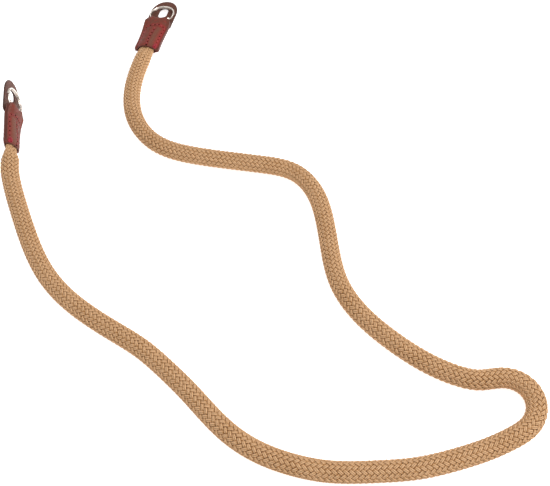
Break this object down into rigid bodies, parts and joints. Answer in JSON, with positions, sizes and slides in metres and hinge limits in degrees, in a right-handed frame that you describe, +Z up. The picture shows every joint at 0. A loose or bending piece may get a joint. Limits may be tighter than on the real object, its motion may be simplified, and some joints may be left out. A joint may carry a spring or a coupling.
{
  "type": "camera neck strap",
  "caption": "Round braided neck cord whose ends are sewn into leather sleeves, each holding a split ring with a leather guard behind it, for hanging a camera.",
  "frame": {"origin": "on the surface the strap lies on, under the middle of the box round its two leather ends with their rings", "axes": "+Z up from the surface, +Y the way both leather ends point, away from the cord's loop, +X to the right as the picture shows it"},
  "size_m": [0.28, 0.3185, 0.0188],
  "materials": {
    "cord": "braided cotton",
    "sleeve": "smooth grain, burnished edges",
    "guard": "smooth grain, raw edge",
    "ring": "polished"
  },
  "bodies": {
    "root": {"cord": "cord", "left_cord_end": "cord", "right_cord_end": "cord", "left_sleeve": "sleeve", "right_sleeve": "sleeve", "left_ring_guard": "guard", "right_ring_guard": "guard", "left_split_ring": "ring", "right_split_ring": "ring"}
  },
  "joints": []
}
